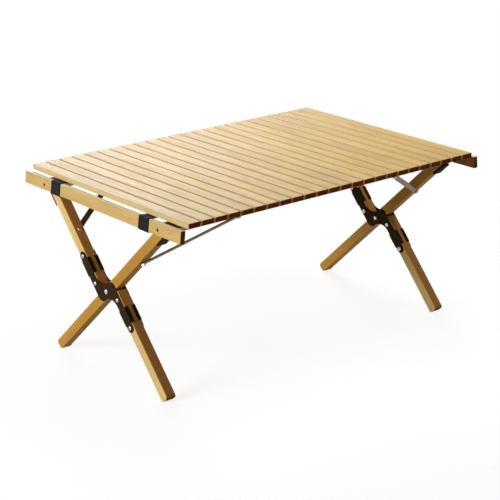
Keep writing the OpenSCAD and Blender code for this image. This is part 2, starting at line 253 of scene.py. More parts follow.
# Scales of the wood's figure across, along and across the grain, and how far each part of it shows
BROAD_SCALE = (30.0, 4.5, 30.0)
BROAD_RANGE = (0.36, 0.66)
MID_LIGHT = 0.55
MID_DARK = 0.45
RING_SCALE = (1.0, 0.03, 0.7)
RING_WAVE = {"Scale": 150.0, "Distortion": 7.0, "Detail": 3.0, "Detail Scale": 0.35,
             "Detail Roughness": 0.6}
RING_SHARE = (0.45, 1.0, 0.0, 0.36)
STREAK_SCALE = (520.0, 6.0, 520.0)
STREAK_SHARE = (0.45, 0.75, 0.0, 0.38)
PORE_SCALE = (1500.0, 34.0, 1500.0)
PORE_RANGE = (0.60, 0.72)
PORE_SHARE = 0.40
WARM_SCALE = (38.0, 8.0, 38.0)
WARM_SHARE = (0.52, 0.72, 0.0, 0.5)
SHIFT_WAY = (1.0, 0.7, 0.3)
BOARD_WAY = (0.9, 3.0, 0.7)
BOARD_SHADE = (0.92, 1.06)
WOOD_ROUGH = (0.36, 0.50)
STREAK_RELIEF = 0.5
PORE_RELIEF = 0.6

# How a face's tone sets in with its direction: two directions, and the tone's shares there. The sides'
# and inner faces' tones are painted shade, the edges' and upper faces' tones painted light, and the
# ends' tone is the grain's own
SIDE_SHADE_TURN = (0.3, 0.8, 0.8, 0.0)
EDGE_LIGHT_TURN = (0.42, 0.85, 0.0, 0.85)
INNER_SHADE_TURN = (-0.97, -0.75, 0.85, 0.0)
UPPER_LIGHT_TURN = (0.45, 0.9, 0.0, 0.75)
END_TURN = (0.65, 0.95, 0.0, 0.85)

# Figure of the sawn ends
END_SCALE = (0.8, 0.0, 1.0)
END_WAVE = {"Scale": 190.0, "Distortion": 5.0, "Detail": 2.0, "Detail Scale": 0.5}
END_RING_SHARE = (0.4, 1.0, 0.0, 0.5)
END_PORE_SHARE = (0.55, 0.7, 0.0, 0.6)

# Figure of the stays and the webbing
BRUSH_SCALE = (60.0, 1800.0, 1800.0)
WEAVE_RIB = 1.9 * MM
WEAVE_YARN = 1.55 * MM
WEAVE_RELIEF = 0.35
FUZZ_RELIEF = 0.5
WORN_RANGE = (0.35, 0.7)
WORN_SHARE = 0.30


def half_tone(color):
    """A colour at half its level."""
    return tuple(0.5 * c for c in color)


def wood(name, light, dark, end, turn=(0.0, 0.0, 0.0), grain=(0.0, 1.0, 0.0), shift=0.0, boards=None,
         side=None, edge=None, inner=None, upper=None, specular=0.12):
    """Straight-grained hardwood. turn lays the figure's length along the grain, and boards gives each
    board its own tone. end is the tone of faces across the grain. side is painted shade on faces that
    do not look along X, edge painted light on those that do, inner painted shade on those that look
    towards the table's middle, and upper painted light on those that look up."""
    s = Shader(name)
    coord = s.add("TexCoord")
    normal = coord.outputs["Normal"]
    where = coord.outputs["Object"]
    place = s.add("Mapping", {"Vector": where, "Rotation": turn}).outputs[0]
    place = s.vector("ADD", place, tuple(shift * way for way in SHIFT_WAY))
    if boards:
        start, pitch = boards
        offset = s.math("SUBTRACT", s.part(where, 0), start)
        index = s.math("FLOOR", s.math("DIVIDE", offset, pitch))
        draw = s.add("TexWhiteNoise", {"W": index}, noise_dimensions="1D")
        place = s.vector("ADD", place, s.vector("MULTIPLY", draw.outputs["Color"], BOARD_WAY))
    broad = s.noise(s.vector("MULTIPLY", place, BROAD_SCALE))
    rings = s.rings(s.vector("MULTIPLY", place, RING_SCALE), RING_WAVE)
    streaks = s.noise(s.vector("MULTIPLY", place, STREAK_SCALE), detail=4.0, rough=0.65)
    pores = s.noise(s.vector("MULTIPLY", place, PORE_SCALE), detail=2.0, rough=0.5)
    pores = s.fade(pores, *PORE_RANGE)
    mid = tuple(MID_LIGHT * a + MID_DARK * b for a, b in zip(light, dark))
    color = s.mix(s.fade(broad, *BROAD_RANGE), light, mid)
    color = s.mix(s.fade(rings, *RING_SHARE), color, dark)
    color = s.mix(s.fade(streaks, *STREAK_SHARE), color, dark)
    color = s.mix(s.math("MULTIPLY", pores, PORE_SHARE), color, half_tone(dark))
    if boards:
        warm = s.noise(s.vector("MULTIPLY", place, WARM_SCALE), detail=3.0, rough=0.6)
        color = s.mix(s.fade(warm, *WARM_SHARE), color, dark)
        shade = s.fade(draw.outputs["Value"], 0.0, 1.0, *BOARD_SHADE)
        evenly = s.add("CombineXYZ", {0: shade, 1: shade, 2: shade}).outputs[0]
        color = s.vector("MULTIPLY", color, evenly)
    along_x = s.part(normal, 0)
    facing = s.math("ABSOLUTE", along_x)
    # Painted shade on faces that do not look along X
    if side:
        color = s.mix(s.fade(facing, *SIDE_SHADE_TURN), color, side)
    # Painted light on faces that look along X
    if edge:
        color = s.mix(s.fade(facing, *EDGE_LIGHT_TURN), color, edge)
    # Painted shade on faces that look towards the table's middle
    if inner:
        outward = s.math("MULTIPLY", along_x, s.math("SIGN", s.part(where, 0)))
        color = s.mix(s.fade(outward, *INNER_SHADE_TURN), color, inner)
    # Painted light on faces that look up
    if upper:
        color = s.mix(s.fade(s.part(normal, 2), *UPPER_LIGHT_TURN), color, upper)
    across = s.math("ABSOLUTE", s.vector("DOT_PRODUCT", normal, grain))
    color = s.mix(s.fade(across, *END_TURN), color, end)
    rough = s.spread(streaks, *WOOD_ROUGH)
    raised = s.math("MULTIPLY", streaks, STREAK_RELIEF)
    sunk = s.math("MULTIPLY", pores, PORE_RELIEF)
    height = s.math("SUBTRACT", raised, sunk)
    return s.finish(color, rough, height, strength=0.20, depth=0.4 * MM, Specular_IOR_Level=specular)


def end_grain(name, light, dark):
    """Sawn ends across the grain: dark rings and open pores that take up the oil."""
    s = Shader(name)
    place = s.place()
    rings = s.rings(s.vector("MULTIPLY", place, END_SCALE), END_WAVE)
    pores = s.noise(place, detail=2.0, rough=0.5, scale=1900.0)
    patch = s.noise(place, detail=2.0, rough=0.5, scale=45.0)
    color = s.mix(s.spread(patch, low=0.0, high=1.0), light, dark)
    color = s.mix(s.fade(rings, *END_RING_SHARE), color, dark)
    color = s.mix(s.fade(pores, *END_PORE_SHARE), color, half_tone(dark))
    rough = s.spread(pores, low=0.72, high=0.86)
    return s.finish(color, rough, pores, strength=0.2, depth=0.3 * MM, Specular_IOR_Level=0.04)


def coated_steel(name):
    """Dark brown-black powder coat with a fine orange-peel surface."""
    s = Shader(name)
    place = s.place()
    cloud = s.noise(place, detail=3.0, rough=0.5, scale=60.0)
    peel = s.noise(place, detail=2.0, rough=0.5, scale=1400.0)
    color = s.mix(cloud, COAT, COAT_LIGHT)
    rough = s.spread(cloud, low=0.42, high=0.55)
    return s.finish(color, rough, peel, strength=0.18, depth=0.3 * MM, Specular_IOR_Level=0.02)


def bright_steel(name):
    """Nickel-plated bolts with faint handling marks."""
    s = Shader(name)
    place = s.place()
    cloud = s.noise(place, detail=4.0, rough=0.6, scale=160.0)
    fine = s.noise(place, detail=2.0, rough=0.5, scale=2600.0)
    color = s.mix(cloud, NICKEL, NICKEL_LIGHT)
    rough = s.spread(cloud, low=0.16, high=0.30)
    return s.finish(color, rough, fine, strength=0.05, depth=0.2 * MM, Metallic=1.0)


def bronzed_steel(name):
    """Bronzed steel bar, brushed along its length."""
    s = Shader(name)
    place = s.place()
    brushed = s.noise(s.vector("MULTIPLY", place, BRUSH_SCALE), detail=3.0, rough=0.6)
    cloud = s.noise(place, detail=3.0, rough=0.55, scale=45.0)
    color = s.mix(cloud, BRONZE, BRONZE_LIGHT)
    rough = s.spread(brushed, low=0.38, high=0.54)
    return s.finish(color, rough, brushed, strength=0.10, depth=0.2 * MM, Metallic=0.6,
                    Specular_IOR_Level=0.05)


def webbing(name):
    """Black woven webbing: ribs across the strap, yarns along it, and worn patches."""
    s = Shader(name)
    uv = s.add("UVMap", uv_map="weave").outputs[0]
    place = s.place()
    rib = s.math("SINE", s.math("MULTIPLY", s.part(uv, 0), TURN / WEAVE_RIB))
    yarn = s.math("SINE", s.math("MULTIPLY", s.part(uv, 1), TURN / WEAVE_YARN))
    weave = s.math("MULTIPLY", rib, yarn)
    fuzz = s.noise(place, detail=3.0, rough=0.6, scale=700.0)
    ribbed = s.math("MULTIPLY", weave, WEAVE_RELIEF)
    fuzzy = s.math("MULTIPLY", fuzz, FUZZ_RELIEF)
    height = s.math("ADD", ribbed, fuzzy)
    worn = s.fade(s.noise(place, detail=2.0, rough=0.5, scale=40.0), *WORN_RANGE)
    color = s.mix(s.fade(weave, -1.0, 1.0), WEB_DEEP, WEB_RIB)
    color = s.mix(s.math("MULTIPLY", worn, WORN_SHARE), color, WEB_WORN)
    rough = s.spread(fuzz, low=0.66, high=0.84)
    return s.finish(color, rough, height, strength=0.55, depth=0.5 * MM, Specular_IOR_Level=0.05,
                    Sheen_Weight=0.03, Sheen_Roughness=0.5)


def thread(name):
    """Twisted black sewing thread."""
    s = Shader(name)
    twist = s.noise(s.place(), detail=2.0, rough=0.5, scale=1500.0)
    color = s.mix(twist, THREAD, THREAD_LIGHT)
    rough = s.spread(twist, low=0.5, high=0.7)
    return s.finish(color, rough, twist, strength=0.3, depth=0.2 * MM, Specular_IOR_Level=0.2)


slat_low, slat_high = span(SLATS[0])
slat_under = slat_low.z
slat_pitch = span(SLATS[1])[0].x - slat_low.x
slat_gap = slat_pitch - (slat_high.x - slat_low.x)
boards = (slat_low.x - slat_gap / 2, slat_pitch)

UP = Vector((0, 0, 1))
through_turn = (math.radians(THROUGH_ANGLE), 0.0, 0.0)
split_turn = (math.radians(-SPLIT_ANGLE), 0.0, 0.0)
lengthways_turn = (0.0, 0.0, math.radians(90))
through_grain = tuple(THROUGH_FRAME.to_3x3() @ UP)
split_grain = tuple(SPLIT_FRAME.to_3x3() @ UP)
lengthways_grain = (1.0, 0.0, 0.0)
LEG_SPECULAR = 0.015

# Each wood's shift takes its figure from another place
# Both slat woods take painted light on their faces that look along X
slat_wood = wood("slat_wood", HONEY, HONEY_DARK, END_LIGHT, boards=boards, edge=GAP_SIDE_LIGHT)
end_slat_wood = wood("end_slat_wood", HONEY, HONEY_DARK, END_LIGHT, boards=boards, edge=END_SLAT_SIDE_LIGHT)
# The rails take painted shade on their inner faces and painted light on their upper faces
rail_wood = wood("rail_wood", PALE, TAN, END_LIGHT, shift=1.7, inner=INNER_SHADE, upper=RAIL_TOP_LIGHT)
# The legs take painted shade on their sides and their ends
through_wood = wood("through_leg_wood", AMBER, AMBER_DARK, LEG_END_SHADE, through_turn, through_grain,
                    shift=2.9, side=AMBER_SIDE_SHADE, specular=LEG_SPECULAR)
split_wood = wood("split_leg_wood", LEG_PALE, LEG_TAN, LEG_END_SHADE, split_turn, split_grain,
                  shift=4.1, side=LEG_SIDE_SHADE, specular=LEG_SPECULAR)
# The bearers' wood is painted shade all over
shaded_bearer_wood = wood("shaded_bearer_wood", BEARER_SHADE, BEARER_SHADE_DARK, END_LIGHT, lengthways_turn, lengthways_grain,
                   shift=5.3)
pin_wood = wood("pin_wood", PIN, PIN_DARK, PIN_END, shift=6.1)
sawn_ends = end_grain("sawn_ends", END_LIGHT, END_DARK)
black_steel = coated_steel("black_steel")
nickel = bright_steel("nickel")
bronzed = bronzed_steel("bronzed")
black_web = webbing("black_webbing")
black_thread = thread("black_thread")


# Mesh helpers

# Faces over FLAT_AREA stay flat. Angles are in degrees, and WELD and ON_AXIS are lengths in metres
FLAT_AREA = 300 * MM * MM
HARD_ANGLE = 35
SOFT_ANGLE = 60
EASED_ANGLE = 32
LEVEL_ANGLE = 0.6
WELD = 2e-6
SQUARE_ON = 0.99
ON_AXIS = 1e-7
END_EASE_STEP = 0.3
SLAT_TOP_STEPS = 5
SLAT_UNDER_STEPS = 2


def to_object(bm, name, materials, sharp_angle=HARD_ANGLE):
    """Turns a mesh into an object, smooth except on large faces and at sharp edges."""
    bmesh.ops.recalc_face_normals(bm, faces=bm.faces)
    limit = math.radians(sharp_angle)
    for face in bm.faces:
        face.smooth = face.calc_area() < FLAT_AREA
    for edge in bm.edges:
        edge.smooth = len(edge.link_faces) == 2 and edge.calc_face_angle(0.0) < limit
    mesh = bpy.data.meshes.new(name)
    bm.to_mesh(mesh)
    bm.free()
    for material in materials:
        mesh.materials.append(material)
    piece = bpy.data.objects.new(name, mesh)
    bpy.context.scene.collection.objects.link(piece)
    return piece


def dress(piece, body, slot, *nodes):
    """Puts a piece on its body, in place of the nodes named."""
    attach(piece, body)
    if nodes:
        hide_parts(*nodes)


def paint(node, material):
    """Gives a node that stays in sight its material."""
    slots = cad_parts[node].data.materials
    slots.clear()
    slots.append(material)


def arc(center, radius, start, stop, steps):
    """Points on an arc in a plane, with angles in degrees."""
    points = []
    for i in range(steps + 1):
        angle = math.radians(start + (stop - start) * i / steps)
        points.append((center[0] + radius * math.cos(angle), center[1] + radius * math.sin(angle)))
    return points


def inset(profile, distance):
    """A convex, counter-clockwise outline moved inwards."""
    count = len(profile)
    moved = []
    for i, (x, y) in enumerate(profile):
        ax, ay = profile[i - 1]
        bx, by = profile[(i + 1) % count]
        tangent = Vector((bx - ax, by - ay)).normalized()
        moved.append((x - tangent.y * distance, y + tangent.x * distance))
    return moved


def skin(bm, rings):
    """Faces from each ring of points to the next. All rings have equally many points."""
    for a, b in zip(rings, rings[1:]):
        count = len(a)
        for i in range(count):
            j = (i + 1) % count
            bm.faces.new((a[i], b[i], b[j], a[j]))


def eased_bar(bm, profile, y0, y1, ease):
    """A bar along Y with an outline in X and Z, eased edges at both ends and material 1 on its ends."""
    step = END_EASE_STEP * ease
    stations = [(y0, ease), (y0 + step, step), (y0 + ease, 0.0),
                (y1 - ease, 0.0), (y1 - step, step), (y1, ease)]
    rings = []
    for y, distance in stations:
        rings.append([bm.verts.new((x, y, z)) for x, z in inset(profile, distance)])
    skin(bm, rings)
    bm.faces.new(rings[0]).material_index = 1
    bm.faces.new(reversed(rings[-1])).material_index = 1


def slat_profile(low, high, top_r, under_r):
    """Outline of a slat in X and Z, rounded on top and eased below."""
    return (arc((low.x + under_r, low.z + under_r), under_r, 180, 270, SLAT_UNDER_STEPS)
            + arc((high.x - under_r, low.z + under_r), under_r, 270, 360, SLAT_UNDER_STEPS)
            + arc((high.x - top_r, high.z - top_r), top_r, 0, 90, SLAT_TOP_STEPS)
            + arc((low.x + top_r, high.z - top_r), top_r, 90, 180, SLAT_TOP_STEPS))


def eased_copy(node, name, width, materials):
    """A copy of a node's mesh with its sharp edges eased. A second material covers ends square to Y."""
    bm = bmesh.new()
    bm.from_mesh(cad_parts[node].data)
    bmesh.ops.remove_doubles(bm, verts=bm.verts, dist=WELD)
    bmesh.ops.dissolve_limit(bm, angle_limit=math.radians(LEVEL_ANGLE), use_dissolve_boundaries=False,
                             verts=bm.verts, edges=bm.edges)
    limit = math.radians(EASED_ANGLE)
    sharp = [e for e in bm.edges if len(e.link_faces) == 2 and e.calc_face_angle(0.0) > limit]
    bmesh.ops.bevel(bm, geom=sharp, offset=width, offset_type="OFFSET", segments=2, profile=0.5,
                    affect="EDGES", clamp_overlap=True)
    bmesh.ops.recalc_face_normals(bm, faces=bm.faces)
    if len(materials) > 1:
        for face in bm.faces:
            if abs(face.normal.y) > SQUARE_ON:
                face.material_index = 1
    return to_object(bm, name, materials)


# Divisions of a strap's round edges, and points across its flat sides as shares of half its width
STRAP_EDGE_STEPS = 6
STRAP_FLAT = (0.6, 0.2, -0.2, -0.6)


def strap_section(width, thick):
    """Outline of a strap across its width, with round edges."""
    edge = thick / 2
    half = width / 2
    section = []
    for way, start in ((1, -90), (-1, 90)):
        for i in range(STRAP_EDGE_STEPS + 1):
            angle = math.radians(start + 180 * i / STRAP_EDGE_STEPS)
            section.append((way * (half - edge) + edge * math.cos(angle), edge * math.sin(angle)))
        section += [(way * half * k, way * edge) for k in STRAP_FLAT]
    return section


def strap(bm, path, side, width, thick, closed=False):
    """A webbing strap along a path, with rounded edges and a weave map in metres."""
    layer = bm.loops.layers.uv.get("weave") or bm.loops.layers.uv.new("weave")
    section = strap_section(width, thick)
    girth = [0.0]
    count = len(section)
    for i in range(count):
        a, b = section[i], section[(i + 1) % count]
        girth.append(girth[-1] + math.hypot(b[0] - a[0], b[1] - a[1]))
    side = Vector(side).normalized()
    rings = []
    lengths = []
    run = 0.0
    total = len(path)
    for i, point in enumerate(path):
        before = path[i - 1] if closed or i else path[i]
        after = path[(i + 1) % total] if closed or i < total - 1 else path[i]
        tangent = (Vector(after) - Vector(before)).normalized()
        normal = tangent.cross(side).normalized()
        if i:
            run += (Vector(point) - Vector(path[i - 1])).length
        lengths.append(run)
        rings.append([bm.verts.new(Vector(point) + side * a + normal * b) for a, b in section])
    pairs = list(range(total - 1)) + ([total - 1] if closed else [])
    for i in pairs:
        j = (i + 1) % total
        u0 = lengths[i]
        u1 = lengths[j] if j else run + (Vector(path[0]) - Vector(path[-1])).length
        for k in range(count):
            m = (k + 1) % count
            face = bm.faces.new((rings[i][k], rings[i][m], rings[j][m], rings[j][k]))
            corners = ((u0, girth[k]), (u0, girth[k + 1]), (u1, girth[k + 1]), (u1, girth[k]))
            for loop, uv in zip(face.loops, corners):
                loop[layer].uv = uv
    if not closed:
        for ring, u in ((rings[0], 0.0), (list(reversed(rings[-1])), run)):
            face = bm.faces.new(ring)
            for loop in face.loops:
                loop[layer].uv = (u, 0.0)


def ring_about_x(bm, place, x, radii):
    """Points about the local X axis at evenly spaced angles, each at its own radius."""
    ring = []
    for i, radius in enumerate(radii):
        angle = TURN * i / len(radii)
        point = Vector((x, radius * math.cos(angle), radius * math.sin(angle)))
        ring.append(bm.verts.new(place @ point))
    return ring


def turned(bm, place, profile, steps=28):
    """A turned form about the local X axis. profile is a list of radius and X, closed on the axis."""
    rings = []
    for radius, x in profile:
        if radius < ON_AXIS:
            rings.append([bm.verts.new(place @ Vector((x, 0, 0)))])
        else:
            rings.append(ring_about_x(bm, place, x, [radius] * steps))
    for a, b in zip(rings, rings[1:]):
        for i in range(steps):
            j = (i + 1) % steps
            corners = [a[i % len(a)], b[i % len(b)], b[j % len(b)], a[j % len(a)]]
            unique = []
            for vert in corners:
                if vert not in unique:
                    unique.append(vert)
            if len(unique) > 2:
                bm.faces.new(unique)


# Shares of a domed head's height, and of its width at the seat
DOME_WALL = 0.3
DOME_CROWN = 0.7
DOME_RIM = 0.1
DOME_SEAT = 0.96


def dome(head, rise, steps=8):
    """Profile of a domed head below x = 0, from its crown to its rim."""
    points = [(0.0, -rise)]
    for i in range(1, steps + 1):
        angle = math.radians(90 * i / steps)
        depth = -DOME_WALL * rise - DOME_CROWN * rise * math.cos(angle)
        points.append((head / 2 * math.sin(angle), depth))
    return points + [(head / 2, -DOME_RIM * rise), (DOME_SEAT * head / 2, 0.0)]


# The bolt's tip beyond its nut, and the nut with its bevels as shares of its height
TIP_L = 0.9 * MM
TIP_TAPER = 0.86
NUT_STEPS = 24
NUT_SIDES = 6
NUT_LOW = 0.12
NUT_HIGH = 0.85


def domed_bolt(bm, place, grip, shank, head):
    """A bolt along local X: a domed head below x = 0, a shank, and a nut beyond x = grip."""
    bolt_r = shank / 2
    nut_end = grip + NUT_H
    tip = nut_end + TIP_L
    shaft = [(bolt_r, 0.0), (bolt_r, nut_end), (TIP_TAPER * shank / 2, tip), (0.0, tip)]
    turned(bm, place, dome(head, HEAD_H) + shaft)
    corner_r = NUT_D / 2
    flat_r = corner_r * math.cos(TURN / NUT_SIDES / 2)
    profile = ((bolt_r, grip), (flat_r, grip), (corner_r, grip + NUT_LOW * NUT_H),
               (corner_r, grip + NUT_HIGH * NUT_H), (flat_r, nut_end), (bolt_r, nut_end))
    rings = []
    for radius, x in profile:
        radii = []
        for i in range(NUT_STEPS):
            off_flat = (TURN * i / NUT_STEPS) % (TURN / NUT_SIDES) - TURN / NUT_SIDES / 2
            radii.append(min(radius, flat_r / math.cos(off_flat)) if radius > flat_r else radius)
        rings.append(ring_about_x(bm, place, x, radii))
    skin(bm, rings)


# The short neck that closes a screw's head on its seat, and the divisions of both
SCREW_SEAT = 0.3 * MM
SCREW_NECK = 0.5
SCREW_STEPS = 20
SCREW_DOME_STEPS = 6


def screw_head(bm, place, head, rise):
    """A domed screw head below x = 0, closed on its seat."""
    neck_r = SCREW_NECK * head / 2
    neck = [(neck_r, 0.0), (neck_r, SCREW_SEAT), (0.0, SCREW_SEAT)]
    turned(bm, place, dome(head, rise, SCREW_DOME_STEPS) + neck, SCREW_STEPS)


# Half a stitch's length as a share of its step, its radius, and its form as places and thicknesses
STITCH_HALF = 0.38
STITCH_R = 0.35 * MM
STITCH_SIDES = 6
STITCH_FORM = ((-1.0, 0.25), (-0.6, 0.9), (0.0, 1.0), (0.6, 0.9), (1.0, 0.25))


def stitches(bm, start, stop, out, count):
    """A row of raised stitches from start to stop, on a face whose outward direction is out."""
    start, stop, out = Vector(start), Vector(stop), Vector(out).normalized()
    along = (stop - start).normalized()
    across = out.cross(along)
    step = (stop - start).length / count
    half = STITCH_HALF * step
    for i in range(count):
        center = start + along * step * (i + 0.5)
        rings = []
        for t, scale in STITCH_FORM:
            radius = STITCH_R * scale
            ring = []
            for k in range(STITCH_SIDES):
                angle = TURN * k / STITCH_SIDES
                offset = across * (radius * math.cos(angle)) + out * (radius * math.sin(angle))
                ring.append(bm.verts.new(center + along * half * t + offset))
            rings.append(ring)
        skin(bm, rings)
        bm.faces.new(rings[0])
        bm.faces.new(reversed(rings[-1]))


# The slats and rails

SLAT_TOP_R = 1.5 * MM
SLAT_UNDER_R = 0.7 * MM
SLAT_END_EASE = 0.7 * MM
RAIL_EASE = 0.5 * MM
for name in SLATS:
    low, high = span(name)
    bm = bmesh.new()
    eased_bar(bm, slat_profile(low, high, SLAT_TOP_R, SLAT_UNDER_R), low.y, high.y, SLAT_END_EASE)
    grain = end_slat_wood if name in (SLATS[0], SLATS[-1]) else slat_wood
    dress(to_object(bm, name + "_board", [grain, sawn_ends]), name, "top_wood", name)

for end, body, _ in ENDS:
    node = end + "_end_rail"
    board = eased_copy(node, node + "_board", RAIL_EASE, [rail_wood, sawn_ends])
    dress(board, body, "top_wood", node)
    paint(end + "_rail_pins", pin_wood)


# The legs and bearers

for node in ("near_through_leg", "far_through_leg"):
    paint(node, through_wood)
for node in ("near_upper_leg", "far_upper_leg", "near_lower_leg", "far_lower_leg"):
    paint(node, split_wood)
for node in ("right_bearer", "left_bearer"):
    paint(node, shaded_bearer_wood)


# The steel

PLATE_EASE = 0.45 * MM
STAY_EASE = 0.5 * MM
for node in ("near_outer_plate", "near_inner_plate", "far_outer_plate", "far_inner_plate"):
    plate = eased_copy(node, node + "_pressed", PLATE_EASE, [black_steel])
    dress(plate, "frame_left", "black_steel", node)

for node, body in (("near_right_stay", "frame_right"), ("far_right_stay", "frame_right"),
                   ("near_left_stay", "frame_left"), ("far_left_stay", "frame_left")):
    dress(eased_copy(node, node + "_bar", STAY_EASE, [bronzed]), body, "grey_steel", node)

for node in ("pivot_washers", "right_bearer_bolts", "left_bearer_bolts"):
    paint(node, nickel)

# The near plates' outer face and the near legs' middle, along X
plate_x = span("near_outer_plate")[0].x
leg_x = middle("near_upper_leg").x
# Heights of the bearers and the stays' lower bolts along the legs, from the pivot
right_bearer = (THROUGH_FRAME.inverted() @ middle("right_bearer")).z
left_bearer = (SPLIT_FRAME.inverted() @ middle("left_bearer")).z
stay_rise = slat_under - STAY_DROP - PIVOT_Z
split_drop = SPLIT_Y * math.cos(math.radians(SPLIT_ANGLE))
right_stay = stay_rise / math.sin(math.radians(THROUGH_ANGLE))
left_stay = (stay_rise + split_drop) / math.sin(math.radians(SPLIT_ANGLE))


def bolt_piece(node, body, places, grip, shank, head):
    """Both ends' bolts as one piece, from their places at the near end."""
    bm = bmesh.new()
    for place in places:
        domed_bolt(bm, place, grip, shank, head)
        domed_bolt(bm, MIRROR_X @ place, grip, shank, head)
    dress(to_object(bm, node + "_domed", [nickel]), body, "bright_steel", node)


through_grip = LEG_D + 2 * PLATE_T
plate_places = []
for way in (1, -1):
    for reach in (INNER_BOLT, OUTER_BOLT):
        plate_places.append(SPLIT_FRAME @ Matrix.Translation((plate_x, way * SPLIT_Y, way * reach)))
bolt_piece("plate_bolts", "frame_left", plate_places, through_grip, BOLT_D, HEAD_D)
bolt_piece("pivot_bolts", "pivots", [SPLIT_FRAME @ Matrix.Translation((plate_x - SIDE_CLEAR, 0, 0))],
           through_grip + 2 * SIDE_CLEAR, PIVOT_D, PIVOT_HEAD_D)

# Each set's node, body, leg, the face of its heads, their turn, and its heights along the leg
stay_sets = (
    ("right_stay_bolts", "frame_right", THROUGH_FRAME, LEG_W / 2, -90, right_stay, right_bearer),
    ("left_stay_bolts", "frame_left", SPLIT_FRAME, SPLIT_Y - LEG_W / 2, 90, left_stay, left_bearer),
)
for node, body, leg, head_y, turn, lower, upper in stay_sets:
    quarter = Matrix.Rotation(math.radians(turn), 4, "Z")
    places = []
    for x, height in ((leg_x, lower), (leg_x + STAY_RUN, upper)):
        places.append(leg @ Matrix.Translation((x, head_y, height)) @ quarter)
    bolt_piece(node, body, places, LEG_W + STAY_T, BOLT_D, HEAD_D)


# The webbing

# Clearances of the straps below the slats and round the rails, the second also to their middle line
WEB_LAY = 0.05 * MM
LOOP_LAY = 0.1 * MM
LOOP_CLEAR = LOOP_LAY + WEB_T / 2
LOOP_CORNER_STEPS = 5
LOOP_FACE = (-0.4, 0.0, 0.4)
SEAM_MARGIN = 3 * MM
SEAM_ROWS = (5 * MM, 0.0)
LOOP_STITCHES = 9
ALONG_Y = (0, 1, 0)
web_low, web_high = span("webbing_left")
web_y = (web_low.y + web_high.y) / 2
web_w = web_high.y - web_low.y
strips = (web_y, -web_y)
run_z = slat_under - WEB_T / 2 - WEB_LAY


def rail_point(end, inward, u, w):
    """X and Z of a point on a tilted rail: u inwards and w upwards from its middle."""
    center = middle(end + "_end_rail")
    x = u * math.cos(RAIL_TILT) + w * math.sin(RAIL_TILT)
    z = w * math.cos(RAIL_TILT) - u * math.sin(RAIL_TILT)
    return center.x + inward * x, center.z + z


def loop_path(end, inward, y):
    """The closed middle line of a strap round an end rail."""
    half_u = RAIL_T / 2 + LOOP_CLEAR
    half_w = RAIL_H / 2 + LOOP_CLEAR
    radius = RAIL_EDGE_R + LOOP_CLEAR
    flat_u, flat_w = half_u - radius, half_w - radius
    outline = arc((-flat_u, -flat_w), radius, 180, 270, LOOP_CORNER_STEPS) + [(0.0, -half_w)]
    outline += arc((flat_u, -flat_w), radius, 270, 360, LOOP_CORNER_STEPS)
    outline += [(half_u, half_w * k) for k in LOOP_FACE]
    outline += arc((flat_u, flat_w), radius, 0, 90, LOOP_CORNER_STEPS) + [(0.0, half_w)]
    outline += arc((-flat_u, flat_w), radius, 90, 180, LOOP_CORNER_STEPS)
    outline += [(-half_u, half_w * k) for k in reversed(LOOP_FACE)]
    path = []
    for u, w in outline:
        x, z = rail_point(end, inward, u, w)
        path.append((x, y, z))
    return path


seam_half = web_w / 2 - SEAM_MARGIN
back_u = RAIL_T / 2 + LOOP_CLEAR + WEB_T / 2
for end, body, inward in ENDS:
    bm = bmesh.new()
    for y in strips:
        strap(bm, loop_path(end, inward, y), ALONG_Y, web_w, WEB_T, closed=True)
    loops = to_object(bm, end + "_loops_woven", [black_web], SOFT_ANGLE)
    dress(loops, body, "webbing", end + "_strap_loops")
    bm = bmesh.new()
    for y in strips:
        for w in SEAM_ROWS:
            x, z = rail_point(end, inward, back_u, w)
            stitches(bm, (x, y - seam_half, z), (x, y + seam_half, z), (inward, 0, 0), LOOP_STITCHES)
    dress(to_object(bm, end + "_loops_stitched", [black_thread], SOFT_ANGLE), body, "webbing")


# Where a strap leaves its loop and where it meets the slat, from the rail's back and the slat's edge
LAP_SINK = 0.25 * MM
LAP_POINTS = (-3 * MM, -1 * MM)
DIP_START = 0.5 * MM
DIP_END = 2 * MM
DIP_STEPS = 7
# Over a gap a strap has many points, up to BRIDGE_REACH under both slats, and then one at BRIDGE_SEAT
BRIDGE_REACH = 2 * MM
BRIDGE_STEPS = 8
BRIDGE_SEAT = 6 * MM


def smooth_step(t):
    """A smooth rise from 0 to 1."""
    return t * t * (3 - 2 * t)


def end_run(end, inward, slat, y):
    """Path of a strap from an end rail's loop to the middle of the slat beside it."""
    low, high = span(slat)
    edge = low.x if inward > 0 else high.x
    sunk = RAIL_H / 2 + LOOP_CLEAR - LAP_SINK
    path = [rail_point(end, inward, RAIL_T / 2 + u, sunk) for u in LAP_POINTS]
    start, z_start = rail_point(end, inward, RAIL_T / 2 + DIP_START, sunk)
    finish = edge + inward * DIP_END
    for i in range(DIP_STEPS + 1):
        t = i / DIP_STEPS
        path.append((start + (finish - start) * t, z_start + (run_z - z_start) * smooth_step(t)))
    path.append(((low.x + high.x) / 2, run_z))
    return [(x, y, z) for x, z in path]


def gap_run(first, second, y):
    """Path of a strap from the middle of one slat to the middle of the next."""
    a_low, a_high = span(first)
    b_low, b_high = span(second)
    xs = [(a_low.x + a_high.x) / 2, a_high.x - BRIDGE_SEAT]
    x0, x1 = a_high.x - BRIDGE_REACH, b_low.x + BRIDGE_REACH
    xs += [x0 + (x1 - x0) * i / BRIDGE_STEPS for i in range(BRIDGE_STEPS + 1)]
    xs += [b_low.x + BRIDGE_SEAT, (b_low.x + b_high.x) / 2]
    return [(x, y, run_z) for x in xs]


def blended_run(name, paths):
    """The straps along the paths as one piece, fixed where they are, with the frame's webbing hidden.
    """
    bm = bmesh.new()
    for path in paths:
        strap(bm, path, ALONG_Y, web_w, WEB_T)
    piece = to_object(bm, name, [black_web], SOFT_ANGLE)
    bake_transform(piece)
    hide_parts("webbing_left", "webbing_right")


